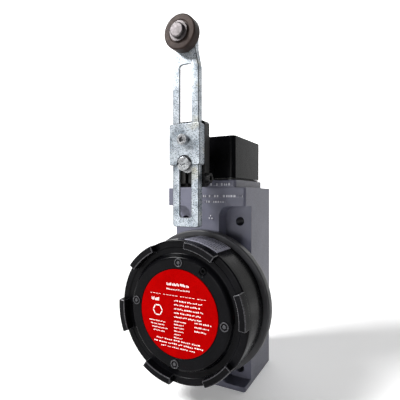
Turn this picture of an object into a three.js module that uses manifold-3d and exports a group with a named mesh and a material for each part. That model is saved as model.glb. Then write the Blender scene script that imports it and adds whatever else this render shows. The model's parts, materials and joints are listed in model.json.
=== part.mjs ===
// Explosion-proof limit switch with an adjustable roller lever, in millimetres.
// +Z is up, +Y runs from the front cover to the mounting face, +X is to the right.
// Sizes are in the housing's own frame: Y = 0 is the front face of its column and
// Z = 0 its bottom. The last lines move the origin to the middle of the base.
import * as THREE from "three";
import { mergeVertices } from "three/addons/utils/BufferGeometryUtils.js";
import Module from "manifold-3d";

const wasm = await Module();
wasm.setup();

// ---------------------------------------------------------------- driving dimensions
const GAP = 0.3; // clearance between separate pieces that touch
const ROUND = 48; // facets of a large round face
const FINE = 20; // facets of a small round face

const COLUMN = { halfWidth: 26.3, depth: 47.8, height: 118.7, corner: 1.6 };
const PEDESTAL = { halfWidth: 20.1, top: 123.3 };
const POCKET = { inner: 9.8, depth: 10.4, corner: 6, spans: [[2.9, 34], [72, 107.6]] };
const MOUNT_HOLE = { x: 19, r: 2.65, heights: [8.6, 98.3] };
const DRUM_Z = 50.9; // height of the round chamber's axis
const DRUM = { flangeR: 42.6, flangeFront: -6, spigotR: 35.4, spigotFront: -20.5, boreR: 31.5 };
const CAVITY = { halfWidth: 14, low: 22, high: 80, back: 42 };
const CONDUIT = { y: 27, r: 10.3 };

const COVER = {
  r: 39.3, rear: -6.4, sealR: 37.9, sealEnd: -9.4, threadR: 35.8, insideR: 31, inside: -24.2,
  rim: -27.7, plateauR: 30.4, plateau: -31, bevel: 1.2,
};
const LUG = { count: 6, first: 9.4, width: 28, innerR: 35.2, outerR: 39, front: -32.6 };
const LABEL = { r: 23.7, thickness: 0.4 };
const NAMEPLATE = { from: 58, to: 88, rear: -8.2, front: -26.2, thickness: 0.5 };

const HEAD = { halfWidth: 19.6, depth: 45.8, bottom: 124.5, top: 149.2, corner: 2.6 };
const HEAD_CAVITY = { halfWidth: 11, front: 11, back: 30, top: 143 };
const HEAD_SCREW = { x: 15, ys: [5, 40.8], r: 1.8, headR: 3.1, seat: 145.4, low: 113.2 };
const BOSS = { r: 7.6, front: -11.6, boreR: 6.4 };
const PLUNGER = { y: 20, r: 2, top: 123.7, low: 82.2, collarR: 3.2, collar: 110.4 };

const SHAFT = { z: 131.3, r: 4.76, headR: 4, neckR: 3.5, front: -25.6, neck: -23.2, step: -20.9, back: 39 };
const CAM = { r: 7.1, front: 15, back: 25 };
const HUB = { halfWidth: 9.7, front: -18.3, back: -12.6, low: 118.7, high: 155.5, boreR: 5.06 };
const RIB = { halfWidth: 6.6, front: -21.1 };
const PINCH = { y: -16.2, z: 123.6, r: 1.5, headR: 2.8, headLength: 2.4 };
const ARM = {
  halfWidth: 8.2, front: -22.9, webBack: -21.4, back: -18.6, sheet: 1.2,
  low: 96.5, shoulder: 184, slotHalf: 3.8, slotLow: 101.8, slotHigh: 185.9, slotCorner: 1.8,
  tipR: 6.2,
};
const BRACKET = { halfWidth: 9.7, front: -24.2, sheet: 1, back: -18.6, low: 130.6, high: 153.6 };
const CLAMP = { z: 144.3, r: 1.8, headR: 3, headFront: -27.3 };
const ROLLER = { z: 201.3, r: 9.525, front: -29.6, back: -23.3, boreR: 2.9 };
const PIN = { r: 2.6, headR: 4, front: -32.4, seat: -30.9 };

const BLOCK = { halfWidth: 10, front: 13, back: 33, low: 34, high: 76 };
const BUTTON = { r: 1.6, low: 71, top: 81.6, boreLow: 66 };
const TERMINAL = { heights: [41, 69], halfWidth: 3.6, halfHeight: 4.4, front: 10.4 };

// ---------------------------------------------------------------- shape helpers
// A closed geometry as a manifold-3d solid, without the slivers left at a turning axis.
function solid(geometry) {
  const bare = geometry.clone();
  bare.deleteAttribute("normal");
  bare.deleteAttribute("uv");
  const merged = mergeVertices(bare, 1e-4);
  const index = Array.from(merged.index.array);
  const corners = [];
  for (let i = 0; i < index.length; i += 3) {
    const [a, b, c] = index.slice(i, i + 3);
    if (a !== b && b !== c && c !== a) corners.push(a, b, c);
  }
  return new wasm.Manifold(new wasm.Mesh({
    numProp: 3,
    vertProperties: merged.attributes.position.array,
    triVerts: new Uint32Array(corners),
  }));
}

function geometryOf(body) {
  const mesh = body.getMesh();
  const geometry = new THREE.BufferGeometry();
  geometry.setAttribute("position", new THREE.BufferAttribute(mesh.vertProperties, 3));
  geometry.setIndex(new THREE.BufferAttribute(mesh.triVerts, 1));
  return geometry;
}

function cut(from, ...tools) {
  return geometryOf(tools.reduce((body, tool) => body.subtract(solid(tool)), solid(from)));
}

function join(...parts) {
  return geometryOf(parts.map(solid).reduce((body, part) => body.add(part)));
}

function box(x0, x1, y0, y1, z0, z1) {
  return new THREE.BoxGeometry(x1 - x0, y1 - y0, z1 - z0)
    .translate((x0 + x1) / 2, (y0 + y1) / 2, (z0 + z1) / 2);
}

// A cylinder along an axis, from one station to another, centred on (a, b): the other
// two axes in X, Y, Z order.
function cylinder(axis, r, from, to, a, b, facets = FINE) {
  const shape = new THREE.CylinderGeometry(r, r, to - from, facets);
  const middle = (from + to) / 2;
  if (axis === "x") return shape.rotateZ(-Math.PI / 2).translate(middle, a, b);
  if (axis === "z") return shape.rotateX(Math.PI / 2).translate(a, b, middle);
  return shape.translate(a, middle, b);
}

// A solid of revolution about the Y-axis line at height z. The profile is [radius, y],
// anticlockwise; one that stays off the axis is a ring and closes on itself.
function turned(profile, z = 0, facets = ROUND) {
  const points = profile.map(([r, y]) => new THREE.Vector2(r, y));
  if (profile[0][0] > 0) points.push(points[0].clone());
  return new THREE.LatheGeometry(points, facets).translate(0, 0, z);
}

function sleeve(inner, outer, y0, y1, z, facets = FINE) {
  return turned([[inner, y0], [outer, y0], [outer, y1], [inner, y1]], z, facets);
}

// An outline in the X-Z plane, extruded from y0 to y1.
function plate(shape, y0, y1, curveSegments = 6) {
  return new THREE.ExtrudeGeometry(shape, { depth: y1 - y0, bevelEnabled: false, curveSegments })
    .rotateX(Math.PI / 2).translate(0, y1, 0);
}

// An outline in the X-Y plane, extruded from z0 to z1.
function column(shape, z0, z1, curveSegments = 4) {
  return new THREE.ExtrudeGeometry(shape, { depth: z1 - z0, bevelEnabled: false, curveSegments })
    .translate(0, 0, z0);
}

function roundedRectangle(x0, x1, y0, y1, r) {
  const s = new THREE.Shape();
  s.moveTo(x0 + r, y0).lineTo(x1 - r, y0);
  s.absarc(x1 - r, y0 + r, r, -Math.PI / 2, 0, false).lineTo(x1, y1 - r);
  s.absarc(x1 - r, y1 - r, r, 0, Math.PI / 2, false).lineTo(x0 + r, y1);
  s.absarc(x0 + r, y1 - r, r, Math.PI / 2, Math.PI, false).lineTo(x0, y0 + r);
  s.absarc(x0 + r, y0 + r, r, Math.PI, 1.5 * Math.PI, false);
  return s;
}

// A ring sector round the drum's axis, with angles in degrees.
function sector(r0, r1, from, to, y0, y1, curveSegments = 6) {
  const [a, b] = [from, to].map(THREE.MathUtils.degToRad);
  const s = new THREE.Shape();
  s.absarc(0, 0, r1, a, b, false);
  s.absarc(0, 0, r0, b, a, true);
  return plate(s, y0, y1, curveSegments).translate(0, 0, DRUM_Z);
}

// A socket-head screw along Y, Z or X: head from `seat` to `tip`, shank the other way.
function socketScrew(axis, r, headR, shankEnd, seat, tip, a, b) {
  const way = Math.sign(tip - seat);
  const span = (p, q) => [Math.min(p, q), Math.max(p, q)];
  const shank = cylinder(axis, r, ...span(shankEnd, seat + way * 0.5), a, b, 16);
  const head = cylinder(axis, headR, ...span(seat, tip), a, b);
  const hex = cylinder(axis, headR * 0.55, ...span(tip - way * 1.8, tip + way), a, b, 6);
  return cut(join(shank, head), hex);
}

// A round-wire helix about a Z-axis line.
function coilSpring(x, y, z0, z1, r, wire, turns) {
  const steps = turns * 8;
  const points = Array.from({ length: steps + 1 }, (_, i) => {
    const angle = (2 * Math.PI * i) / 8;
    const height = z0 + wire + ((z1 - z0 - 2 * wire) * i) / steps;
    return new THREE.Vector3(x + r * Math.cos(angle), y + r * Math.sin(angle), height);
  });
  const section = new THREE.Shape().absarc(0, 0, wire, 0, 2 * Math.PI, false);
  const extrudePath = new THREE.CatmullRomCurve3(points);
  return new THREE.ExtrudeGeometry(section, { steps, curveSegments: 5, extrudePath });
}

// ---------------------------------------------------------------- finishes and assembly
const finish = (color, roughness, metalness) => ({ color, roughness, metalness });
const FINISH = {
  housing: finish(0x4c4c57, 0.5, 0.3),
  black: finish(0x101012, 0.35, 0.3),
  zinc: finish(0xb9c2c6, 0.35, 0.9),
  hub: finish(0x17171a, 0.5, 0.6),
  steel: finish(0x8d8f94, 0.3, 1),
  roller: finish(0x55494a, 0.5, 0.6),
  red: finish(0xb40206, 0.5, 0),
  silver: finish(0x9a9aa8, 0.5, 0.5),
  rubber: finish(0x141414, 0.8, 0),
  brass: finish(0xb08d4a, 0.35, 1),
  phenolic: finish(0x1c1a19, 0.6, 0),
  bronze: finish(0x8c6a3e, 0.5, 0.9),
  green: finish(0x2e7d3c, 0.5, 0.5),
};

const model = new THREE.Group();
model.name = "limit_switch";

function add(name, geometry, look) {
  const mesh = new THREE.Mesh(geometryOf(solid(geometry)), new THREE.MeshStandardMaterial(look));
  mesh.name = name;
  model.add(mesh);
}

// ---------------------------------------------------------------- housing
function pocket(side, [z0, z1]) {
  const far = COLUMN.halfWidth + 10;
  const [x0, x1] = side > 0 ? [POCKET.inner, far] : [-far, -POCKET.inner];
  return plate(roundedRectangle(x0, x1, z0, z1, POCKET.corner), -1, POCKET.depth, 4);
}

function housing() {
  const { halfWidth, depth, height, corner } = COLUMN;
  const { flangeR, flangeFront, spigotR, spigotFront, boreR } = DRUM;
  const sides = [-1, 1];
  const block = column(roundedRectangle(-halfWidth, halfWidth, 0, depth, corner), 0, height);
  const neck = roundedRectangle(-PEDESTAL.halfWidth, PEDESTAL.halfWidth, 0.5, depth, corner);
  const step = column(neck, height - 1, PEDESTAL.top);
  const pockets = sides.flatMap((side) => POCKET.spans.map((span) => pocket(side, span)));
  const drum = turned([
    [0, spigotFront], [spigotR - 0.6, spigotFront], [spigotR, spigotFront + 0.6],
    [spigotR, flangeFront], [flangeR - 0.8, flangeFront], [flangeR, flangeFront + 0.8],
    [flangeR, -1], [flangeR - 1.6, 1.5], [38.2, 10], [35.5, 16], [31, 21.5], [25, 25], [0, 26],
  ], DRUM_Z);
  const mountHoles = sides.flatMap((side) => MOUNT_HOLE.heights.map((z) =>
    cylinder("y", MOUNT_HOLE.r, -8, depth + 1, side * MOUNT_HOLE.x, z, 16)));
  const screwHoles = sides.flatMap((side) => HEAD_SCREW.ys.map((y) =>
    cylinder("z", 2.1, HEAD_SCREW.low - 1, PEDESTAL.top + 1, side * HEAD_SCREW.x, y, 12)));
  return cut(
    join(cut(join(block, step), ...pockets), drum),
    box(-CAVITY.halfWidth, CAVITY.halfWidth, -2, CAVITY.back, CAVITY.low, CAVITY.high),
    cylinder("y", boreR, spigotFront - 1, 8, 0, DRUM_Z, ROUND),
    cylinder("z", CONDUIT.r, -1, CAVITY.low + 1, 0, CONDUIT.y, 32),
    cylinder("z", 4.6, CAVITY.high - 1, PEDESTAL.top + 1, 0, PLUNGER.y),
    ...mountHoles, ...screwHoles,
  );
}
add("housing", housing(), FINISH.housing);

// A round-section ring, near enough as a hexagon, about the Y-axis line at height z.
function ring(r, tube, y, z, facets) {
  const profile = Array.from({ length: 6 }, (_, i) => {
    const angle = (Math.PI / 3) * (i + 0.5);
    return [r + tube * Math.cos(angle), y + tube * Math.sin(angle)];
  });
  return turned(profile, z, facets);
}
add("cover_o_ring", ring(36.65, 0.9, -7.6, DRUM_Z, 40), FINISH.rubber);

// ---------------------------------------------------------------- cover
function cover() {
  const { r, rear, sealR, sealEnd, threadR, insideR, inside, rim, plateauR, plateau, bevel } = COVER;
  const shell = turned([
    [0, plateau], [plateauR - bevel, plateau], [plateauR, plateau + bevel], [plateauR, rim],
    [r - bevel, rim], [r, rim + bevel], [r, rear], [sealR, rear], [sealR, sealEnd],
    [threadR, sealEnd], [threadR, -21.2], [insideR, -21.2], [insideR, inside], [0, inside],
  ], DRUM_Z);
  const lugs = Array.from({ length: LUG.count }, (_, i) => {
    const middle = LUG.first + (360 / LUG.count) * i;
    const [from, to] = [middle - LUG.width / 2, middle + LUG.width / 2];
    return sector(LUG.innerR, LUG.outerR, from, to, LUG.front, rim + 1.5, 5);
  });
  const bosses = [85, 172, 266, 355].map((angle) => {
    const turn = THREE.MathUtils.degToRad(angle);
    const [x, z] = [27.3 * Math.cos(turn), DRUM_Z + 27.3 * Math.sin(turn)];
    return cylinder("y", 1.3, plateau - 0.4, plateau + 1, x, z, 16);
  });
  const [a, b] = [NAMEPLATE.from - 0.8, NAMEPLATE.to + 0.8];
  const flat = sector(r - 0.5, r + 2, a, b, NAMEPLATE.front - 0.4, NAMEPLATE.rear + 0.4, 6);
  const disc = cylinder("y", LABEL.r + 0.4, plateau - 1, plateau + 0.5, 0, DRUM_Z, ROUND);
  const { x, z } = LOCK_SCREW;
  return cut(join(shell, ...lugs, ...bosses), flat, disc, cylinder("y", 1.9, -40, -24.5, x, z, 16));
}
const LOCK_SCREW = { x: 15.2, z: DRUM_Z + 24.2 };
add("cover", cover(), FINISH.black);
add("cover_label", cylinder(
  "y", LABEL.r, COVER.plateau + 0.2 - LABEL.thickness, COVER.plateau + 0.2, 0, DRUM_Z, ROUND,
), FINISH.red);
add("side_nameplate", sector(
  COVER.r - 0.5 + GAP, COVER.r - 0.5 + GAP + NAMEPLATE.thickness, NAMEPLATE.from, NAMEPLATE.to,
  NAMEPLATE.front, NAMEPLATE.rear, 6,
), FINISH.silver);
add("cover_lock_screw", cut(
  cylinder("y", 1.6, -31.3, -25.2, LOCK_SCREW.x, LOCK_SCREW.z, 16),
  cylinder("y", 0.9, -33, -29.6, LOCK_SCREW.x, LOCK_SCREW.z, 6),
), FINISH.hub);

// ---------------------------------------------------------------- head
function head() {
  const { halfWidth, depth, bottom, top, corner } = HEAD;
  const block = column(roundedRectangle(-halfWidth, halfWidth, 0, depth, corner), bottom, top, 5);
  const boss = cylinder("y", BOSS.r, BOSS.front, 0.6, 0, SHAFT.z, 32);
  const { halfWidth: w, front, back, top: ceiling } = HEAD_CAVITY;
  const wells = [-1, 1].flatMap((side) => HEAD_SCREW.ys.flatMap((y) => [
    cylinder("z", 2.1, bottom - 1, top + 1, side * HEAD_SCREW.x, y, 16),
    cylinder("z", HEAD_SCREW.headR + GAP, HEAD_SCREW.seat - GAP, top + 1, side * HEAD_SCREW.x, y),
  ]));
  return cut(
    join(block, boss), ...wells,
    box(-w, w, front, back, bottom - 1, ceiling),
    cylinder("y", BOSS.boreR, BOSS.front - 1, 40.5, 0, SHAFT.z),
  );
}
add("head", head(), FINISH.black);

function gasket() {
  const { halfWidth, depth } = HEAD;
  const sheet = roundedRectangle(-halfWidth + 0.4, halfWidth - 0.4, 0.9, depth - 0.4, 2.2);
  const openings = [-1, 1].flatMap((side) => HEAD_SCREW.ys.map((y) =>
    cylinder("z", 2.1, 120, 130, side * HEAD_SCREW.x, y, 16)));
  const w = HEAD_CAVITY.halfWidth;
  const z0 = PEDESTAL.top + GAP;
  return cut(
    column(sheet, z0, HEAD.bottom - GAP),
    box(-w, w, HEAD_CAVITY.front, HEAD_CAVITY.back, 120, 130), ...openings,
  );
}
add("head_gasket", gasket(), FINISH.rubber);

let number = 1;
for (const side of [-1, 1]) {
  for (const y of HEAD_SCREW.ys) {
    const { r, headR, low, seat, x } = HEAD_SCREW;
    add(`head_screw_${number++}`, socketScrew("z", r, headR, low, seat, 148.6, side * x, y), FINISH.steel);
  }
}
add("front_bearing", sleeve(5.06, 6.1, -7.2, 9, SHAFT.z), FINISH.bronze);
add("rear_bearing", sleeve(5.06, 6.1, 31, 38.4, SHAFT.z), FINISH.bronze);
add("shaft_seal", sleeve(5.06, 6.1, -11.2, -7.6, SHAFT.z), FINISH.rubber);

// ---------------------------------------------------------------- lever assembly
function shaft() {
  const { r, headR, neckR, front, neck, step, back, z } = SHAFT;
  const bar = turned([
    [0, front], [headR - 0.4, front], [headR, front + 0.4], [headR, neck], [neckR, neck],
    [neckR, step], [r, step],
    [r, back - 0.5], [r - 0.5, back], [0, back],
  ], z, FINE);
  return cut(bar,
    box(-5, 5, front - 1, front + 1.8, z - 0.75, z + 0.75),
    cylinder("x", 1.2, -9, 9, PLUNGER.y, z, 16),
  );
}
add("shaft", shaft(), FINISH.steel);

// The cam's two lobes stand either side of a flat land that faces down at rest.
function cam() {
  const disc = sleeve(5.06, CAM.r, CAM.front, CAM.back, SHAFT.z, 32);
  const land = box(-3.2, 3.2, CAM.front - 1, CAM.back + 1, SHAFT.z - 9, SHAFT.z - 6.1);
  return cut(disc, land, cylinder("x", 1.2, -9, 9, PLUNGER.y, SHAFT.z, 16));
}
add("cam", cam(), FINISH.steel);
add("cam_pin", cylinder("x", 0.9, -6.9, 6.9, PLUNGER.y, SHAFT.z, 12), FINISH.steel);

function hub() {
  const { halfWidth, front, back, low, high, boreR } = HUB;
  const clamp = plate(roundedRectangle(-halfWidth, halfWidth, low, high, 2), front, back, 4);
  const rib = box(-RIB.halfWidth, RIB.halfWidth, RIB.front, front + 1, low + 2, high - 2);
  return cut(join(clamp, rib),
    cylinder("y", boreR, RIB.front - 1, back + 1, 0, SHAFT.z, 32),
    box(-1, 1, RIB.front - 1, back + 1, low - 1, SHAFT.z),
    cylinder("x", 1.8, -12, 12, PINCH.y, PINCH.z, 16),
    cylinder("y", 2.1, RIB.front - 1, back + 1, 0, CLAMP.z, 16),
  );
}
add("lever_hub", hub(), FINISH.hub);
add("pinch_screw", socketScrew(
  "x", PINCH.r, PINCH.headR, -9.2, HUB.halfWidth + GAP, HUB.halfWidth + GAP + PINCH.headLength,
  PINCH.y, PINCH.z,
), FINISH.hub);

function bracket() {
  const { halfWidth, front, sheet, back, low, high } = BRACKET;
  const outer = plate(roundedRectangle(-halfWidth, halfWidth, low, high, 1.4), front, back, 4);
  const inner = halfWidth - sheet - 0.2;
  return cut(outer,
    box(-inner, inner, front + sheet, back + 1, low - 1, high + 1),
    cylinder("y", 4.6, front - 1, back + 1, 0, SHAFT.z),
    cylinder("y", 2.1, front - 1, back + 1, 0, CLAMP.z, 16),
  );
}
add("clamp_bracket", bracket(), FINISH.zinc);
add("clamp_screw", socketScrew(
  "y", CLAMP.r, CLAMP.headR, -13.4, BRACKET.front - GAP, CLAMP.headFront, 0, CLAMP.z,
), FINISH.steel);

// ---------------------------------------------------------------- lever arm and roller
// The arm's outline: a straight strip, a taper and a round tip, inset by a margin.
function armOutline(margin) {
  const w = ARM.halfWidth - margin;
  const tip = ARM.tipR - margin;
  const s = new THREE.Shape();
  s.moveTo(-w + 1.5, ARM.low + margin).lineTo(w - 1.5, ARM.low + margin);
  s.absarc(w - 1.5, ARM.low + margin + 1.5, 1.5, -Math.PI / 2, 0, false);
  s.lineTo(w, ARM.shoulder).lineTo(tip, ARM.shoulder + 10).lineTo(tip, ROLLER.z);
  s.absarc(0, ROLLER.z, tip, 0, Math.PI, false).lineTo(-tip, ARM.shoulder + 10);
  s.lineTo(-w, ARM.shoulder).lineTo(-w, ARM.low + margin + 1.5);
  s.absarc(-w + 1.5, ARM.low + margin + 1.5, 1.5, Math.PI, 1.5 * Math.PI, false);
  return s;
}

function arm() {
  const { front, webBack, back, sheet, slotHalf, slotLow, slotHigh, slotCorner } = ARM;
  const slot = roundedRectangle(-slotHalf, slotHalf, slotLow, slotHigh, slotCorner);
  return cut(plate(armOutline(0), front, back, 8),
    plate(armOutline(sheet), webBack, back + 1, 8),
    box(-ARM.halfWidth + sheet, ARM.halfWidth - sheet, webBack, back + 1, ARM.low - 1, 110),
    plate(slot, front - 1, back + 1, 4),
    cylinder("y", PIN.r + GAP, front - 1, back + 1, 0, ROLLER.z),
  );
}
add("lever_arm", arm(), FINISH.zinc);

const { seat, headR: pinHeadR, front: pinFront, r: pinR } = PIN;
add("roller_pin", turned([
  [0, pinFront], [pinHeadR - 0.5, pinFront], [pinHeadR, pinFront + 0.5], [pinHeadR, seat],
  [pinR, seat], [pinR, ARM.webBack + GAP], [pinHeadR, ARM.webBack + GAP],
  [pinHeadR, -19.9], [0, -19.9],
], ROLLER.z, FINE), FINISH.steel);
add("roller_washer", sleeve(PIN.r + GAP, 5.4, seat + GAP, ROLLER.front - GAP, ROLLER.z), FINISH.steel);
add("roller", turned([
  [ROLLER.boreR, ROLLER.front], [ROLLER.r - 0.8, ROLLER.front], [ROLLER.r, ROLLER.front + 0.8],
  [ROLLER.r, ROLLER.back - 0.8], [ROLLER.r - 0.8, ROLLER.back], [ROLLER.boreR, ROLLER.back],
], ROLLER.z, 48), FINISH.roller);

// ---------------------------------------------------------------- plunger and guide
add("plunger_guide", cut(
  join(
    cylinder("z", 4.3, 113, 122.8, 0, PLUNGER.y),
    cylinder("z", 3.9, 112, 113.5, 0, PLUNGER.y),
  ),
  cylinder("z", PLUNGER.r + GAP, 110, 125, 0, PLUNGER.y),
), FINISH.bronze);
add("plunger", join(
  cylinder("z", PLUNGER.r, PLUNGER.low, PLUNGER.top, 0, PLUNGER.y),
  cylinder("z", PLUNGER.collarR, PLUNGER.collar, PLUNGER.collar + 1.2, 0, PLUNGER.y),
), FINISH.steel);
add("plunger_seat", cut(
  cylinder("z", 4.3, 82, 85, 0, PLUNGER.y),
  cylinder("z", PLUNGER.r + GAP, 81, 86, 0, PLUNGER.y),
), FINISH.bronze);
add("plunger_spring", coilSpring(0, PLUNGER.y, 85.3, PLUNGER.collar - GAP, 3.3, 0.4, 7), FINISH.steel);

// ---------------------------------------------------------------- switch block
function switchBlock() {
  const { halfWidth, front, back, low, high } = BLOCK;
  const body = box(-halfWidth, halfWidth, front, back, low, high);
  const barrier = box(-1, 1, TERMINAL.front, front + 1, low + 2, high - 2);
  const steps = TERMINAL.heights.flatMap((z) => [-1, 1].map((side) =>
    cylinder("y", 1.8, front - 1, front + 6, side * 5.4, z, 16)));
  const fixings = FIXINGS.map(([x, z]) => cylinder("y", 1.9, front - 1, back + 1, x, z, 16));
  const buttonBore = cylinder("z", BUTTON.r + GAP, BUTTON.boreLow, high + 1, 0, PLUNGER.y, 16);
  return cut(join(body, barrier), buttonBore, ...steps, ...fixings);
}
const FIXINGS = [[-6, 55], [6, 55]];
add("switch_block", switchBlock(), FINISH.phenolic);
add("mounting_plate", cut(
  box(-13, 13, BLOCK.back + GAP, BLOCK.back + 2, BLOCK.low - 6, BLOCK.high + 2),
  ...FIXINGS.map(([x, z]) => cylinder("y", 1.9, 30, 40, x, z, 16)),
), FINISH.zinc);
FIXINGS.forEach(([x, z], i) => {
  add(`block_screw_${i + 1}`, socketScrew("y", 1.5, 2.6, 38, BLOCK.front - GAP, 10.4, x, z), FINISH.steel);
});
add("switch_button", cylinder(
  "z", BUTTON.r, BUTTON.low, BUTTON.top, 0, PLUNGER.y, 16,
), FINISH.brass);

let terminal = 1;
for (const z of TERMINAL.heights) {
  for (const side of [-1, 1]) {
    const x = side * 5.4;
    const w = TERMINAL.halfWidth;
    const h = TERMINAL.halfHeight;
    const { front } = TERMINAL;
    add(`terminal_${terminal}`, cut(
      box(x - w, x + w, front + 1, BLOCK.front - GAP, z - h, z + h),
      cylinder("y", 1.8, front - 1, BLOCK.front + 1, x, z, 16),
    ), FINISH.brass);
    add(`terminal_screw_${terminal}`, cut(
      join(
        cylinder("y", 2.9, front - 1, front + 0.7, x, z),
        cylinder("y", 1.5, front, BLOCK.front + 4, x, z, 16),
      ),
      box(x - 4, x + 4, front - 2, front - 0.2, z - 0.4, z + 0.4),
    ), FINISH.brass);
    terminal += 1;
  }
}
add("ground_screw", cut(
  join(
    cylinder("y", 3.2, 38.2, 40, 0, 29),
    cylinder("y", 1.6, 39, 41.7, 0, 29, 16),
  ),
  box(-5, 5, 37, 39, 28.6, 29.4),
), FINISH.green);

model.position.set(0, -(COLUMN.depth + LUG.front) / 2, 0);
export default model;
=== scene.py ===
import json
import math
import random

import bmesh
import bpy
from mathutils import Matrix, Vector


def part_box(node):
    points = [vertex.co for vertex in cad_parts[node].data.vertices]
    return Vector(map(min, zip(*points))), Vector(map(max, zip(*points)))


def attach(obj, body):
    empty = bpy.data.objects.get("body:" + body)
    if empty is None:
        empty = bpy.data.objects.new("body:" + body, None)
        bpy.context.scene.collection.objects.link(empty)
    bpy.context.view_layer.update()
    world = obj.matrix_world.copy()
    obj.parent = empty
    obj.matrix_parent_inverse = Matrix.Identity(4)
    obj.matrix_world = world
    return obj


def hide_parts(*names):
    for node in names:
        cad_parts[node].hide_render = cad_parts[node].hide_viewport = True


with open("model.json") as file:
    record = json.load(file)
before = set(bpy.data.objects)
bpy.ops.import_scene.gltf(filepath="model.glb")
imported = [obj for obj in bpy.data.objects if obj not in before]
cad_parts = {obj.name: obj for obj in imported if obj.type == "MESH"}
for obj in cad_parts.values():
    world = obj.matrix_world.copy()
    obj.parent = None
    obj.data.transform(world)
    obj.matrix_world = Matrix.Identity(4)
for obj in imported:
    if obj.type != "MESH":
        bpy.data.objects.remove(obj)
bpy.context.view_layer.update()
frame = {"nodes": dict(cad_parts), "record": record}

MM = 0.001
random.seed(11)

# All sizes are in millimetres, and depths are measured from the column's front face.
COLUMN = {"half_width": 26.3, "depth": 47.8, "height": 118.7, "corner": 1.6}
STEP = {"half_width": 20.1, "front": 0.5, "low": 117, "top": 123.3}
POCKET = {"near": 9.8, "far": 36, "floor": 10.4, "corner": 6, "spans": ((2.9, 34), (72, 107.6))}
MOUNTING_HOLE = {"x": 19, "heights": (8.6, 98.3), "r": 2.65}
ENTRY = {"y": 27, "r": 10.3, "depth": 23}
CHAMBER = {"half_width": 14, "depth": 42, "low": 22, "top": 80}
NECK_THREAD = {"r": 35.2, "start": -18.6, "pitch": 2.0, "turns": 5}
LUGS = {"count": 6, "first": 9.4, "half_width": 14}
MARKS = {"r": 27.4, "angles": (89, 172, 266, 355)}
LABEL = {"r": 23.7, "face": -31.12}
PRINT = (-31.15, -31.1)
NAMEPLATE = {"from": 58, "sweep": 30, "front": -26.2, "rear": -8.2}
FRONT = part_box("housing")[1][1] / MM - COLUMN["depth"]
DRUM_Z = 50.9
ROLLER_Z = 201.3


def at(x, y, z):
    """A point in metres from millimetres, with y measured from the column's front face."""
    return Vector((x * MM, (y + FRONT) * MM, z * MM))


# ---------------------------------------------------------------- node materials
class Surface:
    """A procedural material built up in layers on one Principled shader."""

    def __init__(self, name, color, roughness, metallic=0.0, specular=0.5):
        self.material = bpy.data.materials.new(name)
        self.material.use_nodes = True
        self.tree = self.material.node_tree
        self.shader = self.tree.nodes["Principled BSDF"]
        self.shader.inputs["Metallic"].default_value = metallic
        self.shader.inputs["Specular IOR Level"].default_value = specular
        self.shader.inputs["Base Color"].default_value = (*color, 1)
        self.shader.inputs["Roughness"].default_value = roughness
        self.coordinates = self.tree.nodes.new("ShaderNodeTexCoord").outputs["Object"]
        self.color = None
        self.base = (*color, 1)
        self.normal = None

    def link(self, a, b):
        self.tree.links.new(a, b)

    def noise(self, size, detail=4.0, stretch=(1, 1, 1), rough=0.55):
        """Noise whose features are about `size` millimetres across."""
        mapping = self.tree.nodes.new("ShaderNodeMapping")
        mapping.inputs["Scale"].default_value = [1000 / size * s for s in stretch]
        self.link(self.coordinates, mapping.inputs["Vector"])
        noise = self.tree.nodes.new("ShaderNodeTexNoise")
        noise.inputs["Scale"].default_value = 1.0
        noise.inputs["Detail"].default_value = detail
        noise.inputs["Roughness"].default_value = rough
        self.link(mapping.outputs["Vector"], noise.inputs["Vector"])
        return noise.outputs["Fac"]

    def ramp(self, value, low, high, start=0.0, end=1.0):
        """A value that goes from `start` where the input is `low` to `end` where it is `high`."""
        ramp = self.tree.nodes.new("ShaderNodeMapRange")
        ramp.inputs["From Min"].default_value = low
        ramp.inputs["From Max"].default_value = high
        ramp.inputs["To Min"].default_value = start
        ramp.inputs["To Max"].default_value = end
        self.link(value, ramp.inputs["Value"])
        return ramp.outputs["Result"]

    def blend(self, mask, color):
        """Puts another colour over what is there, where the mask is 1."""
        mix = self.tree.nodes.new("ShaderNodeMix")
        mix.data_type = "RGBA"
        a, b = [s for s in mix.inputs if s.type == "RGBA"]
        if self.color is None:
            a.default_value = self.base
        else:
            self.link(self.color, a)
        b.default_value = (*color, 1)
        self.link(mask, mix.inputs["Factor"])
        self.color = next(s for s in mix.outputs if s.type == "RGBA")
        self.link(self.color, self.shader.inputs["Base Color"])
        return self

    def polish(self, value, low, high):
        """Lets the roughness wander between two values with a texture."""
        self.link(self.ramp(value, 0.3, 0.7, low, high), self.shader.inputs["Roughness"])
        return self

    def bump(self, value, height):
        """Adds a bump of about `height` millimetres."""
        bump = self.tree.nodes.new("ShaderNodeBump")
        bump.inputs["Distance"].default_value = height * MM
        bump.inputs["Strength"].default_value = 1.0
        self.link(value, bump.inputs["Height"])
        if self.normal is not None:
            self.link(self.normal, bump.inputs["Normal"])
        self.normal = bump.outputs["Normal"]
        self.link(self.normal, self.shader.inputs["Normal"])
        return self


def cast_paint(name, color, light, roughness, grain, specular=0.5, metallic=0.0):
    """Paint over a casting: soft swells, fine orange peel, and small paler specks at random."""
    s = Surface(name, color, roughness, metallic=metallic, specular=specular)
    cloud = s.noise(14, 3)
    peel = s.noise(0.9, 5)
    s.blend(s.ramp(cloud, 0.35, 0.75), light)
    s.blend(s.ramp(s.noise(0.7, 2), 0.72, 0.8), tuple(c * 1.5 for c in light))
    s.polish(peel, roughness - 0.07, roughness + 0.09)
    s.bump(cloud, 0.10).bump(peel, grain)
    return s.material


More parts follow.
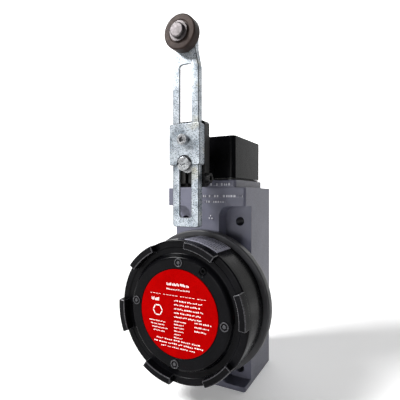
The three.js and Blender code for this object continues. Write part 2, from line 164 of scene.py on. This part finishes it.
def plated(name, color, shade, warm, roughness):
    """Zinc plate on sheet steel: mottled bright and dull spots with a faint yellow cast."""
    s = Surface(name, color, roughness, metallic=0.6)
    s.blend(s.ramp(s.noise(6, 4), 0.42, 0.7), shade)
    s.blend(s.ramp(s.noise(9, 2), 0.6, 0.75), warm)
    s.blend(s.ramp(s.noise(0.8, 3, rough=0.7), 0.60, 0.66), tuple(c * 0.3 for c in shade))
    s.polish(s.noise(0.8, 4), roughness - 0.1, roughness + 0.15)
    s.bump(s.noise(0.5, 3, (1, 1, 0.12)), 0.012).bump(s.noise(0.7, 2), 0.02)
    return s.material


def painted_edge_shade(name, color, dark, roughness):
    """Painted shade for the rounded edges of plated sheet: darker and duller than its faces, with fine
    vertical scores.
    """
    s = Surface(name, color, roughness, metallic=0.5)
    s.blend(s.ramp(s.noise(0.6, 3, (1, 0.2, 1)), 0.4, 0.65), dark)
    s.polish(s.noise(0.5, 3), roughness - 0.08, roughness + 0.12)
    s.bump(s.noise(0.3, 2, (1, 0.15, 1)), 0.02)
    return s.material


def turned_steel(name, color, dark, roughness, metallic=0.95):
    """Machined steel with fine tool marks and small dark specks."""
    s = Surface(name, color, roughness, metallic=metallic)
    s.blend(s.ramp(s.noise(2.5, 4), 0.4, 0.7), dark)
    s.blend(s.ramp(s.noise(0.5, 2), 0.66, 0.7), tuple(c * 0.4 for c in dark))
    s.polish(s.noise(0.6, 3), roughness - 0.1, roughness + 0.12)
    s.bump(s.noise(0.35, 2, (1, 0.2, 1)), 0.012)
    return s.material


def sintered(name, color, light, roughness, metallic=0.55, specular=0.5):
    """Pressed-powder steel: open grain and a brown cast."""
    s = Surface(name, color, roughness, metallic=metallic, specular=specular)
    s.blend(s.ramp(s.noise(3.5, 5), 0.4, 0.7), light)
    s.blend(s.ramp(s.noise(0.45, 3, rough=0.7), 0.6, 0.66), tuple(c * 0.4 for c in color))
    s.polish(s.noise(0.6, 3), roughness - 0.08, roughness + 0.12)
    s.bump(s.noise(0.4, 3), 0.03)
    return s.material


def moulded(name, color, light, roughness, grain=0.02, specular=0.5):
    """Moulded or printed plastic and rubber: a fine matt grain."""
    s = Surface(name, color, roughness, specular=specular)
    s.blend(s.ramp(s.noise(5, 4), 0.4, 0.75), light)
    s.polish(s.noise(0.5, 3), roughness - 0.06, roughness + 0.1)
    s.bump(s.noise(0.4, 3), grain)
    return s.material


LOOK = {
    "housing_paint": cast_paint(
        "housing_paint", (0.088, 0.090, 0.125), (0.108, 0.110, 0.150), 0.42, 0.022, metallic=0.1),
    "black_paint": cast_paint(
        "black_paint", (0.002, 0.002, 0.0025), (0.004, 0.004, 0.005), 0.20, 0.006,
        specular=0.05),
    # Painted highlight: a paler, metallic black for the rounded edges of the cover's lugs and for its
    # marks.
    "black_edge_highlight": cast_paint(
        "black_edge_highlight", (0.030, 0.030, 0.034), (0.055, 0.055, 0.060), 0.24, 0.006, metallic=0.4),
    # Painted shade: a darker copy of the housing paint for the front of the drum and its flange.
    "flange_painted_shade": cast_paint(
        "flange_painted_shade", (0.024, 0.024, 0.027), (0.036, 0.036, 0.040), 0.40, 0.020, specular=0.3),
    "zinc": plated("zinc", (0.44, 0.48, 0.52), (0.16, 0.19, 0.22), (0.42, 0.42, 0.37), 0.27),
    # Painted shade: dark strips on the rounded edges of the lever arm and clamp bracket.
    "zinc_edge_shade": painted_edge_shade("zinc_edge_shade", (0.050, 0.054, 0.060), (0.020, 0.022, 0.025), 0.42),
    "hub_black": sintered("hub_black", (0.006, 0.006, 0.007), (0.016, 0.015, 0.014), 0.38, 0.15, 0.2),
    "steel": turned_steel("steel", (0.40, 0.41, 0.42), (0.20, 0.20, 0.21), 0.30),
    "pin_steel": turned_steel("pin_steel", (0.090, 0.080, 0.083), (0.045, 0.040, 0.040), 0.40, 0.7),
    # A paler paint for the front faces of the raised casting marks.
    "pale_mark_paint": cast_paint(
        "pale_mark_paint", (0.34, 0.34, 0.38), (0.48, 0.48, 0.52), 0.34, 0.02, metallic=0.3),
    "roller_steel": sintered(
        "roller_steel", (0.022, 0.015, 0.013), (0.038, 0.027, 0.023), 0.40, 0.2, 0.08),
    "red_label": moulded("red_label", (0.27, 0.0004, 0.0006), (0.32, 0.0008, 0.001), 0.55, 0.006, 0.0),
    "white_ink": moulded("white_ink", (0.72, 0.66, 0.64), (0.84, 0.80, 0.78), 0.5, 0.004),
    "nameplate": plated("nameplate", (0.36, 0.36, 0.43), (0.27, 0.27, 0.33), (0.40, 0.40, 0.44), 0.46),
    "dark_ink": moulded("dark_ink", (0.035, 0.035, 0.045), (0.06, 0.06, 0.07), 0.5, 0.004),
    "rubber": moulded("rubber", (0.012, 0.012, 0.012), (0.022, 0.022, 0.022), 0.75, 0.03),
    "bronze": sintered("bronze", (0.33, 0.20, 0.09), (0.42, 0.27, 0.13), 0.45),
    "brass": turned_steel("brass", (0.62, 0.45, 0.20), (0.48, 0.33, 0.14), 0.3),
    "phenolic": moulded("phenolic", (0.020, 0.017, 0.015), (0.032, 0.027, 0.024), 0.5),
    "green_screw": moulded("green_screw", (0.03, 0.22, 0.07), (0.05, 0.28, 0.10), 0.4),
}

NODE_SLOT = {s["node"]: s["material_slot"] for s in frame["record"]["subparts"]}


# ---------------------------------------------------------------- mesh helpers
def make(name, bm, look, smooth=35):
    """A new piece from a bmesh given in metres, smooth except across edges over `smooth` degrees."""
    bmesh.ops.remove_doubles(bm, verts=bm.verts, dist=1e-7)
    bmesh.ops.recalc_face_normals(bm, faces=bm.faces)
    mesh = bpy.data.meshes.new(name)
    bm.to_mesh(mesh)
    bm.free()
    for polygon in mesh.polygons:
        polygon.use_smooth = True
    mesh.set_sharp_from_angle(angle=math.radians(smooth))
    obj = bpy.data.objects.new(name, mesh)
    bpy.context.scene.collection.objects.link(obj)
    mesh.materials.append(LOOK[look])
    return obj


def level(obj):
    """Keeps the large flat faces flat where they run into rounded edges."""
    weighted = obj.modifiers.new("level", "WEIGHTED_NORMAL")
    weighted.keep_sharp = True
    weighted.weight = 90


def place(obj, body, look, *nodes):
    level(obj)
    if nodes:
        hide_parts(*nodes)
    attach(obj, body)


def filleted(corners, steps=5):
    """Rounds the corners of a closed [radius, y, fillet] profile."""
    points = []
    for i, (x, y, fillet) in enumerate(corners):
        here = Vector((x, y))
        before = Vector(corners[i - 1][:2]) - here
        after = Vector(corners[(i + 1) % len(corners)][:2]) - here
        reach = min(fillet, before.length * 0.49, after.length * 0.49)
        if reach <= 0:
            points.append(here)
            continue
        a = here + before.normalized() * reach
        b = here + after.normalized() * reach
        for k in range(steps + 1):
            t = k / steps
            points.append(a * (1 - t) ** 2 + here * (2 * t * (1 - t)) + b * t ** 2)
    return points


def lathe(bm, corners, z, around=160, start=0.0, sweep=360.0):
    """Turns a closed profile about the Y-axis line at height z, all round or part of the way."""
    profile = filleted(corners)
    full = sweep >= 360
    rings = []
    for i in range(around if full else around + 1):
        angle = math.radians(start + sweep * i / around)
        rings.append([
            bm.verts.new(at(p.x * math.cos(angle), p.y, z + p.x * math.sin(angle))) for p in profile
        ])
    count = len(profile)
    for i in range(around):
        a, b = rings[i], rings[(i + 1) % len(rings)]
        for j in range(count):
            k = (j + 1) % count
            bm.faces.new((a[j], a[k], b[k], b[j]))
    if not full:
        bm.faces.new(rings[0])
        bm.faces.new(rings[-1])
    return rings


def outline(bm, points, y0, y1):
    """A flat outline in the X-Z plane, given in millimetres, made y0 to y1 thick."""
    low = [bm.verts.new(at(x, y0, z)) for x, z in points]
    high = [bm.verts.new(at(x, y1, z)) for x, z in points]
    bm.faces.new(low)
    bm.faces.new(high)
    for i in range(len(points)):
        k = (i + 1) % len(points)
        bm.faces.new((low[i], low[k], high[k], high[i]))


def rounded(x0, x1, z0, z1, r, steps=10):
    """A rectangle with corners of radius r, as a list of points."""
    points = []
    centres = [(x1 - r, z0 + r, -90), (x1 - r, z1 - r, 0), (x0 + r, z1 - r, 90), (x0 + r, z0 + r, 180)]
    for cx, cz, first in centres:
        for k in range(steps + 1):
            angle = math.radians(first + 90 * k / steps)
            points.append((cx + r * math.cos(angle), cz + r * math.sin(angle)))
    return points


def apply_modifiers(obj):
    """Makes what the modifiers show the piece's own mesh."""
    graph = bpy.context.evaluated_depsgraph_get()
    mesh = bpy.data.meshes.new_from_object(obj.evaluated_get(graph))
    obj.modifiers.clear()
    obj.data = mesh


def cut_away(obj, cutter):
    """Takes the cutter's shape out of the piece, and removes the cutter."""
    boolean = obj.modifiers.new("cut", "BOOLEAN")
    boolean.operation = "DIFFERENCE"
    boolean.solver = "EXACT"
    boolean.object = cutter
    apply_modifiers(obj)
    bpy.data.objects.remove(cutter)


def soften(obj, width, segments=3, angle=40, smooth=40, keep=False, edge_material=-1):
    """Rounds the edges of a piece by `width` millimetres."""
    bevel = obj.modifiers.new("edge", "BEVEL")
    bevel.width = width * MM
    bevel.segments = segments
    bevel.limit_method = "ANGLE"
    bevel.angle_limit = math.radians(angle)
    bevel.harden_normals = True
    bevel.material = edge_material
    if keep:
        return
    apply_modifiers(obj)
    for polygon in obj.data.polygons:
        polygon.use_smooth = True
    obj.data.set_sharp_from_angle(angle=math.radians(smooth))


def merge(name, objects):
    """Joins several pieces into one mesh."""
    bm = bmesh.new()
    for obj in objects:
        bm.from_mesh(obj.data)
    mesh = bpy.data.meshes.new(name)
    bm.to_mesh(mesh)
    bm.free()
    for material in objects[0].data.materials:
        mesh.materials.append(material)
    for polygon in mesh.polygons:
        polygon.use_smooth = True
    mesh.set_sharp_from_angle(angle=math.radians(38))
    for obj in objects:
        bpy.data.objects.remove(obj)
    joined = bpy.data.objects.new(name, mesh)
    bpy.context.scene.collection.objects.link(joined)
    return joined


def block(bm, x0, x1, y0, y1, z0, z1):
    """A box between two corners."""
    outline(bm, [(x0, z0), (x1, z0), (x1, z1), (x0, z1)], y0, y1)


def along_z(bm, points, z0, z1):
    """A flat outline in the X-Y plane made z0 to z1 tall."""
    low = [bm.verts.new(at(x, y, z0)) for x, y in points]
    high = [bm.verts.new(at(x, y, z1)) for x, y in points]
    bm.faces.new(low)
    bm.faces.new(high)
    for i in range(len(points)):
        k = (i + 1) % len(points)
        bm.faces.new((low[i], low[k], high[k], high[i]))


def circle(x, y, r, steps=48):
    angles = [2 * math.pi * k / steps for k in range(steps)]
    return [(x + r * math.cos(a), y + r * math.sin(a)) for a in angles]


def tool(build):
    """A cutter made by a function that fills a bmesh."""
    bm = bmesh.new()
    build(bm)
    return make("cutter", bm, "housing_paint")


# ---------------------------------------------------------------- housing
def build_entry_thread():
    """Rings of thread in the conduit entry, each a ridge of two sloping flanks."""
    bm = bmesh.new()
    pitch, turns, around = 2.1, 9, 64
    outer = circle(0, ENTRY["y"], ENTRY["r"] + 0.1, around)
    inner = circle(0, ENTRY["y"], ENTRY["r"] - 0.6, around)
    for i in range(turns):
        z = 1.2 + i * pitch
        levels = ((outer, z), (inner, z + 0.6), (outer, z + 1.2))
        rings = [[bm.verts.new(at(*point, height)) for point in ring] for ring, height in levels]
        for k in range(around):
            m = (k + 1) % around
            for a, b in zip(rings, rings[1:]):
                bm.faces.new((a[k], b[k], b[m], a[m]))
    return make("entry_thread", bm, "housing_paint")


def build_housing():
    bm = bmesh.new()
    half = COLUMN["half_width"]
    along_z(bm, rounded(-half, half, 0, COLUMN["depth"], COLUMN["corner"], 4), 0, COLUMN["height"])
    body = make("housing_column", bm, "housing_paint")

    def pockets(bm):
        for side in (-1, 1):
            near, far = sorted((side * POCKET["near"], side * POCKET["far"]))
            for low, high in POCKET["spans"]:
                outline(bm, rounded(near, far, low, high, POCKET["corner"], 12), -2, POCKET["floor"])
    cut_away(body, tool(pockets))

    def mounting_holes(bm):
        for side in (-1, 1):
            for z in MOUNTING_HOLE["heights"]:
                outline(bm, circle(side * MOUNTING_HOLE["x"], z, MOUNTING_HOLE["r"], 32), 5, 60)
    cut_away(body, tool(mounting_holes))
    cut_away(body, tool(lambda bm: along_z(
        bm, circle(0, ENTRY["y"], ENTRY["r"], 64), -1, ENTRY["depth"])))
    wide = CHAMBER["half_width"]
    cut_away(body, tool(lambda bm: block(
        bm, -wide, wide, -2, CHAMBER["depth"], CHAMBER["low"], CHAMBER["top"])))
    soften(body, 0.7, 3)

    bm = bmesh.new()
    half = STEP["half_width"]
    outer = rounded(-half, half, STEP["front"], COLUMN["depth"], COLUMN["corner"], 4)
    along_z(bm, outer, STEP["low"], STEP["top"])
    step = make("housing_step", bm, "housing_paint")
    soften(step, 0.6, 3)

    # Raised casting marks, left blank.
    bm = bmesh.new()
    rows = (
        (120.6, 4, 19, 1.5, 0.5), (113.6, -4, 25, 1.3, 0), (110.2, -4, 14, 1.1, 0),
        (100.2, 3.2, 6.6, 0.9, 0), (101.8, 4.0, 5.8, 0.8, 0),
    )
    for z, x0, x1, height, lift in rows:
        x = x0
        while x < x1:
            end = min(x1, x + random.uniform(0.6, 1.5))
            block(bm, x, end, lift - 0.34, lift + 0.3, z - height / 2, z + height / 2)
            x = end + random.uniform(0.4, 0.9)
    marks = make("housing_marks", bm, "housing_paint")
    soften(marks, 0.1, 2)
    # About seven in ten of the marks' front faces take the paler paint, chosen at random.
    for polygon in marks.data.polygons:
        polygon.material_index = 2 if polygon.normal.y < -0.3 and random.random() < 0.7 else 0

    bm = bmesh.new()
    lathe(bm, [
        (31.5, -20.5, 0.3), (35.4, -20.5, 0.5), (35.4, -6, 0.2), (42.6, -6, 1.1), (42.6, -0.4, 1.4),
        (40.6, 2.6, 1.5), (38.2, 10, 3), (35.5, 16, 3), (31.5, 21, 2), (30, 10.4, 0.3), (31.5, 8, 0.3),
    ], DRUM_Z)
    drum = make("housing_drum", bm, "housing_paint")
    # The front of the drum and its flange take the darker paint, which is painted shade.
    drum.data.materials.append(LOOK["flange_painted_shade"])
    drum.data.materials.append(LOOK["pale_mark_paint"])
    for polygon in drum.data.polygons:
        polygon.material_index = 1 if polygon.center.y < at(0, 1.2, 0).y else 0
    thread = bmesh.new()
    r = NECK_THREAD["r"]
    for i in range(NECK_THREAD["turns"]):
        y = NECK_THREAD["start"] + NECK_THREAD["pitch"] * i
        lathe(thread, [(r, y, 0), (r + 0.5, y + 0.5, 0.2), (r, y + 1, 0)], DRUM_Z, 96)
    threads = make("neck_thread", thread, "housing_paint")
    entry_thread = build_entry_thread()
    return merge("housing_casting", [drum, body, step, marks, threads, entry_thread])


place(build_housing(), "housing_body", "housing_paint", "housing")


# ---------------------------------------------------------------- cover
def build_cover():
    bm = bmesh.new()
    lathe(bm, [
        (0.02, -30.5, 0), (24.1, -30.5, 0.2), (24.1, -31, 0.2), (30.4, -31, 1.3), (31.6, -27.9, 0.8),
        (34.8, -27.9, 0.8), (35.4, -28.4, 0.4), (39.2, -28.4, 1.0), (39.3, -25, 0.2),
        (39.3, -6.4, 0.7), (37.9, -6.4, 0.3), (37.9, -9.4, 0.2), (35.8, -9.4, 0.2),
        (35.8, -21.2, 0.3), (31, -21.2, 0.3), (31, -24.2, 1.0), (0.02, -24.2, 0),
    ], DRUM_Z, 192)
    shell = make("cover_shell", bm, "black_paint")

    bm = bmesh.new()
    for i in range(LUGS["count"]):
        start = LUGS["first"] + 360 / LUGS["count"] * i - LUGS["half_width"]
        lathe(bm, [(35.2, -32.6, 0), (39.0, -32.6, 0), (39.3, -27, 0), (34.6, -27, 0)],
              DRUM_Z, 18, start, 2 * LUGS["half_width"])
    lugs = make("cover_lugs", bm, "black_paint")
    # The lugs' rounded edges take the paler black, which is a painted highlight.
    lugs.data.materials.append(LOOK["black_edge_highlight"])
    shell.data.materials.append(LOOK["black_edge_highlight"])
    soften(lugs, 0.5, 3, edge_material=1)

    bm = bmesh.new()
    for angle in MARKS["angles"]:
        turn = math.radians(angle)
        x, z = MARKS["r"] * math.cos(turn), DRUM_Z + MARKS["r"] * math.sin(turn)
        for r0, r1 in ((1.8, 2.4), (0.02, 1.0)):
            ring = filleted([(r0, -31.6, 0.1), (r1, -31.6, 0.15), (r1, -30.8, 0), (r0, -30.8, 0)], 2)
            loops = []
            for k in range(32):
                a = 2 * math.pi * k / 32
                loops.append([bm.verts.new(at(x + p.x * math.cos(a), p.y, z + p.x * math.sin(a)))
                              for p in ring])
            for k in range(32):
                a, b = loops[k], loops[(k + 1) % 32]
                for j in range(len(ring)):
                    m = (j + 1) % len(ring)
                    bm.faces.new((a[j], a[m], b[m], b[j]))
    marks = make("cover_marks", bm, "black_paint")
    # The marks are painted all over with the paler black, which is a painted highlight.
    for polygon in marks.data.polygons:
        polygon.material_index = 1
    cover = merge("cover_casting", [shell, lugs, marks])
    low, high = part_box("cover_lock_screw")
    x, z = ((low[k] + high[k]) / 2 / MM for k in (0, 2))
    cut_away(cover, tool(lambda bm: outline(bm, circle(x, z, 1.9, 32), -36, -25)))
    return cover


place(build_cover(), "cover_body", "black_paint", "cover")


def build_label():
    bm = bmesh.new()
    r, face = LABEL["r"], LABEL["face"]
    lathe(bm, [(0.02, face, 0), (r, face, 0.12), (r, -30.6, 0), (0.02, -30.6, 0)], DRUM_Z, 160)
    return make("cover_label_disc", bm, "red_label")


def printed_row(bm, x0, x1, z, height, word):
    """A line of blank strokes in groups of random length, which stands for a line of print."""
    x = x0
    while x < x1 - 0.3:
        for _ in range(random.randint(2, 5)):
            end = x + random.uniform(0.28, 0.5) * word
            if end > x1:
                break
            tall = height * random.uniform(0.55, 1.0)
            base = DRUM_Z + z - height / 2 + random.choice((0, 0, height - tall))
            block(bm, x, end, *PRINT, base, base + tall)
            x = end + 0.22 * word
        x += 0.35 * word


def build_print():
    bm = bmesh.new()
    printed_row(bm, -7.0, 7.5, 15.4, 1.5, 1.3)
    printed_row(bm, -7.0, 7.5, 12.7, 0.8, 0.8)
    printed_row(bm, -17.5, 17.5, 9.4, 0.3, 3.0)
    printed_row(bm, -16.8, -11.6, 6.4, 1.9, 1.1)
    for i in range(5):
        z = 6.8 - 2.15 * i
        printed_row(bm, -2.2, 14.5 + random.uniform(-1.5, 2.2), z, 0.75, 1.5)
    for i in range(6):
        z = -4.2 - 1.75 * i
        printed_row(bm, -2.2, 3.0 + random.uniform(-1, 4.5), z, 0.62, 1.2)
    for i in range(4):
        z = -5.6 - 1.75 * i
        printed_row(bm, -18.2 + 0.9 * i, -8.4 + random.uniform(0, 2.5), z, 0.62, 1.2)
    for i in range(3):
        printed_row(bm, 10.2, 20.2 - 1.5 * i, -3.2 - 2.2 * i, 0.8, 1.4)
    for i, (half, height) in enumerate(((14.5, 0.65), (16.0, 0.75), (11.5, 0.6))):
        printed_row(bm, -half + 1, half, -14.6 - 1.9 * i, height, 2.0)
    printed = make("cover_print", bm, "white_ink")
    ring = bmesh.new()
    for k in range(6):
        a, b = math.radians(60 * k + 4), math.radians(60 * k + 56)
        points = [(-12.8 + r * math.cos(t), DRUM_Z + 0.4 + r * math.sin(t))
                  for r, t in ((3.2, a), (3.2, b), (2.6, b), (2.6, a))]
        outline(ring, points, *PRINT)
    return merge("cover_print_bars", [printed, make("cover_print_ring", ring, "white_ink")])


place(build_label(), "cover_body", "red_label", "cover_label")
place(build_print(), "cover_body", "red_label")


def build_nameplate():
    bm = bmesh.new()
    front, rear = NAMEPLATE["front"], NAMEPLATE["rear"]
    lathe(bm, [(39.1, front, 0), (39.5, front, 0.1), (39.5, rear, 0.1), (39.1, rear, 0)],
          DRUM_Z, 40, NAMEPLATE["from"], NAMEPLATE["sweep"])
    plate = make("nameplate_sheet", bm, "nameplate")
    bm = bmesh.new()
    for i in range(6):
        y = -24.2 + 2.7 * i
        angle = 60.5
        while angle < 84:
            span = random.uniform(1.0, 2.6)
            lathe(bm, [(39.4, y, 0), (39.53, y, 0), (39.53, y + 1.1, 0), (39.4, y + 1.1, 0)],
                  DRUM_Z, 4, angle, span)
            angle += span + 0.8
    return plate, make("nameplate_print", bm, "dark_ink")


plate_sheet, plate_print = build_nameplate()
place(plate_sheet, "cover_body", "nameplate", "side_nameplate")
place(plate_print, "cover_body", "nameplate")


# ---------------------------------------------------------------- roller
def build_roller():
    bm = bmesh.new()
    lathe(bm, [
        (2.9, -29.4, 0.2), (6.0, -29.4, 0.1), (6.3, -29.6, 0.1), (9.525, -29.6, 0.9),
        (9.525, -23.3, 0.9), (2.9, -23.3, 0.2),
    ], ROLLER_Z, 128)
    return make("roller_tyre", bm, "roller_steel")


place(build_roller(), "roller_body", "roller_steel", "roller")

# ---------------------------------------------------------------- the CAD nodes that stay
OWN_LOOK = {"cover_lock_screw": "black_paint", "roller_pin": "pin_steel", "roller_washer": "pin_steel"}
EDGE = {"head": 0.45, "lever_hub": 0.35, "lever_arm": 0.34, "clamp_bracket": 0.34}
for name, obj in frame["nodes"].items():
    obj.data.materials.clear()
    obj.data.materials.append(LOOK[OWN_LOOK.get(name, NODE_SLOT[name])])
    for polygon in obj.data.polygons:
        polygon.use_smooth = True
    obj.data.set_sharp_from_angle(angle=math.radians(32))
    if name in EDGE or "screw" in name or name in ("roller_pin", "roller_washer", "shaft"):
        pressed = name in ("lever_arm", "clamp_bracket")
        # The lever arm and clamp bracket give their rounded edges the dark edge material, which is
        # painted shade.
        if pressed:
            obj.data.materials.append(LOOK["zinc_edge_shade"])
        obj.modifiers.new("weld", "WELD").merge_threshold = 0.001 * MM
        soften(obj, EDGE.get(name, 0.14), 2, angle=32, keep=True, edge_material=1 if pressed else -1)
        obj.modifiers["edge"].use_clamp_overlap = not pressed
    level(obj)


# ---------------------------------------------------------------- stage, light and camera
def backdrop_paper():
    """Pale paper: a clean floor near the object that glows up to white behind it, and fades sideways."""
    s = Surface("backdrop_paper", (0.93, 0.93, 0.93), 0.9, specular=0.1)
    s.blend(s.ramp(s.noise(60, 3), 0.4, 0.8), (0.955, 0.955, 0.955)).bump(s.noise(3, 3), 0.02)
    split = s.tree.nodes.new("ShaderNodeSeparateXYZ")
    s.link(s.coordinates, split.inputs["Vector"])
    sideways, back = split.outputs["X"], split.outputs["Y"]
    # Painted light and shade: the paper glows most behind the object and less to the sides. It is
    # painted greyer in front of the object and to the sides, so less light comes from there.
    s.blend(s.ramp(back, -0.14, -0.45), (0.75, 0.75, 0.75))
    s.blend(s.ramp(sideways, 0.12, 0.5), (0.62, 0.62, 0.62))
    glow = s.tree.nodes.new("ShaderNodeMath")
    glow.operation = "MULTIPLY"
    s.link(s.ramp(back, 0.2, 1.2, 0.24, 1.0), glow.inputs[0])
    s.link(s.ramp(sideways, 0.16, 0.4, 1.0, 0.6), glow.inputs[1])
    s.shader.inputs["Emission Color"].default_value = (1, 1, 1, 1)
    s.link(glow.outputs["Value"], s.shader.inputs["Emission Strength"])
    return s.material


def stage():
    """A floor that bends up into a wall behind the object."""
    bm = bmesh.new()
    size, depth, height, bend = 3.0, 1.6, 2.4, 0.5
    profile = [(-2.5, 0.0), (depth - bend, 0.0)]
    profile += [(depth - bend + bend * math.sin(t), bend - bend * math.cos(t))
                for t in (math.radians(9 * k) for k in range(1, 11))]
    profile.append((depth, height))
    rows = [[bm.verts.new((side * size, y, z - 0.0002)) for y, z in profile] for side in (-1, 1)]
    for j in range(len(profile) - 1):
        bm.faces.new((rows[0][j], rows[1][j], rows[1][j + 1], rows[0][j + 1]))
    LOOK["backdrop_paper"] = backdrop_paper()
    backdrop = make("backdrop", bm, "backdrop_paper")


def area_light(name, place_at, power, size):
    """A soft light aimed at the middle of the object."""
    data = bpy.data.lights.new(name, "AREA")
    data.energy = power
    data.shape = "RECTANGLE"
    data.size, data.size_y = size
    obj = bpy.data.objects.new(name, data)
    bpy.context.scene.collection.objects.link(obj)
    obj.location = place_at
    aim = Vector((0, 0, 0.1)) - Vector(place_at)
    obj.rotation_euler = aim.to_track_quat("-Z", "Y").to_euler()


stage()
area_light("key", (-0.72, -0.74, 0.88), 27.0, (0.35, 0.35))
area_light("front_fill", (-0.15, -1.05, 0.10), 3.2, (0.5, 0.3))
area_light("right_fill", (0.80, 0.62, 0.35), 0.15, (0.5, 0.7))
area_light("top", (0.05, 0.25, 0.9), 1.0, (0.6, 0.6))

world = bpy.data.worlds.new("studio")
bpy.context.scene.world = world
world.use_nodes = True
world.node_tree.nodes["Background"].inputs["Color"].default_value = (1, 1, 1, 1)
world.node_tree.nodes["Background"].inputs["Strength"].default_value = 0.05
seen = world.node_tree.nodes.new("ShaderNodeLightPath")
pale = world.node_tree.nodes.new("ShaderNodeMapRange")
for key, value in (("To Min", 0.05), ("To Max", 0.85)):
    pale.inputs[key].default_value = value
world.node_tree.links.new(seen.outputs["Is Camera Ray"], pale.inputs["Value"])
world.node_tree.links.new(pale.outputs["Result"], world.node_tree.nodes["Background"].inputs["Strength"])
bpy.context.scene.view_settings.view_transform = "Standard"

camera_data = bpy.data.cameras.new("camera")
camera_data.lens = 32.2
camera_data.sensor_width = 36
camera_data.clip_start = 0.01
camera = bpy.data.objects.new("camera", camera_data)
bpy.context.scene.collection.objects.link(camera)
camera.location = at(99.5, -193.3, 113.7)
camera.rotation_euler = (math.radians(90 - 0.65), 0, math.radians(27.94))
bpy.context.scene.camera = camera
